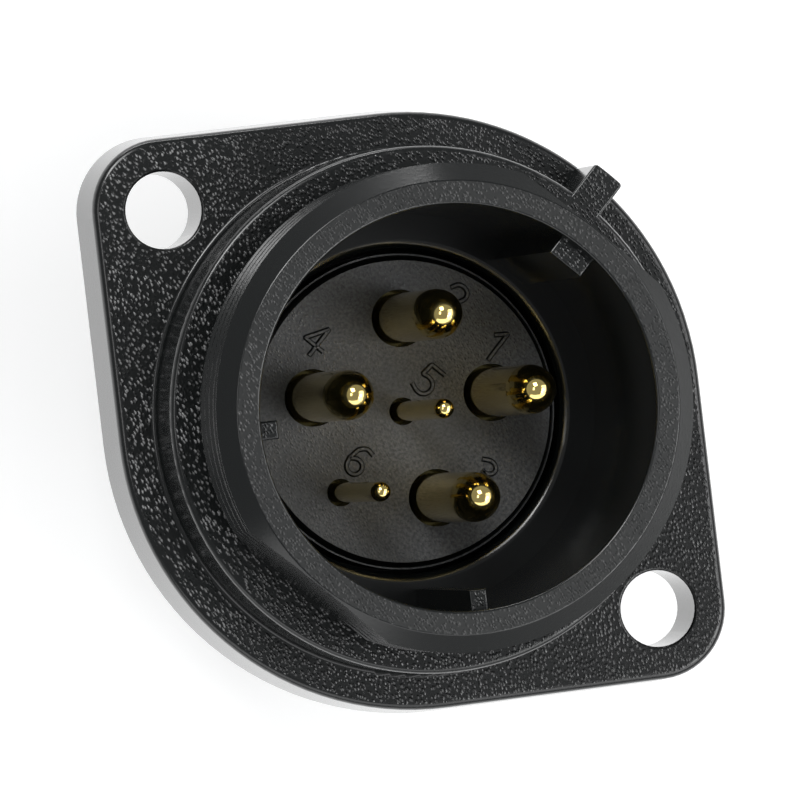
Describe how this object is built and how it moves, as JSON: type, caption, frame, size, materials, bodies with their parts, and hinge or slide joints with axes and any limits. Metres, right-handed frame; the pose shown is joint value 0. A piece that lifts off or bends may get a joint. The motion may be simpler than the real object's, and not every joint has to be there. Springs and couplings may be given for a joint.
{
  "type": "panel mount circular connector",
  "caption": "Flanged male circular connector with a threaded round barrel, a keyed socket and round-nosed power and signal pins.",
  "frame": {"origin": "centre of the flange's rear face, which lies against the panel, on the mating axis", "axes": "+Z along the mating axis, out of the socket; +Y towards the master key and the index tab; X through both screw holes"},
  "size_m": [0.0398, 0.0304, 0.0267],
  "materials": {
    "shell_plastic": "fine moulded texture",
    "insulator_plastic": "fine moulded texture",
    "seal_rubber": "matte",
    "gold_contact": "gold plated, satin",
    "spring_clip": "bare spring bronze"
  },
  "bodies": {
    "root": {"shell": "shell_plastic", "front_insulator": "insulator_plastic", "rear_insulator": "insulator_plastic", "retaining_ring": "shell_plastic", "panel_seal": "seal_rubber", "insulator_gasket": "seal_rubber", "power_pin_1": "gold_contact", "power_clip_1": "spring_clip", "power_pin_2": "gold_contact", "power_clip_2": "spring_clip", "power_pin_3": "gold_contact", "power_clip_3": "spring_clip", "power_pin_4": "gold_contact", "power_clip_4": "spring_clip", "signal_pin_5": "gold_contact", "signal_clip_5": "spring_clip", "signal_pin_6": "gold_contact", "signal_clip_6": "spring_clip"}
  },
  "joints": []
}
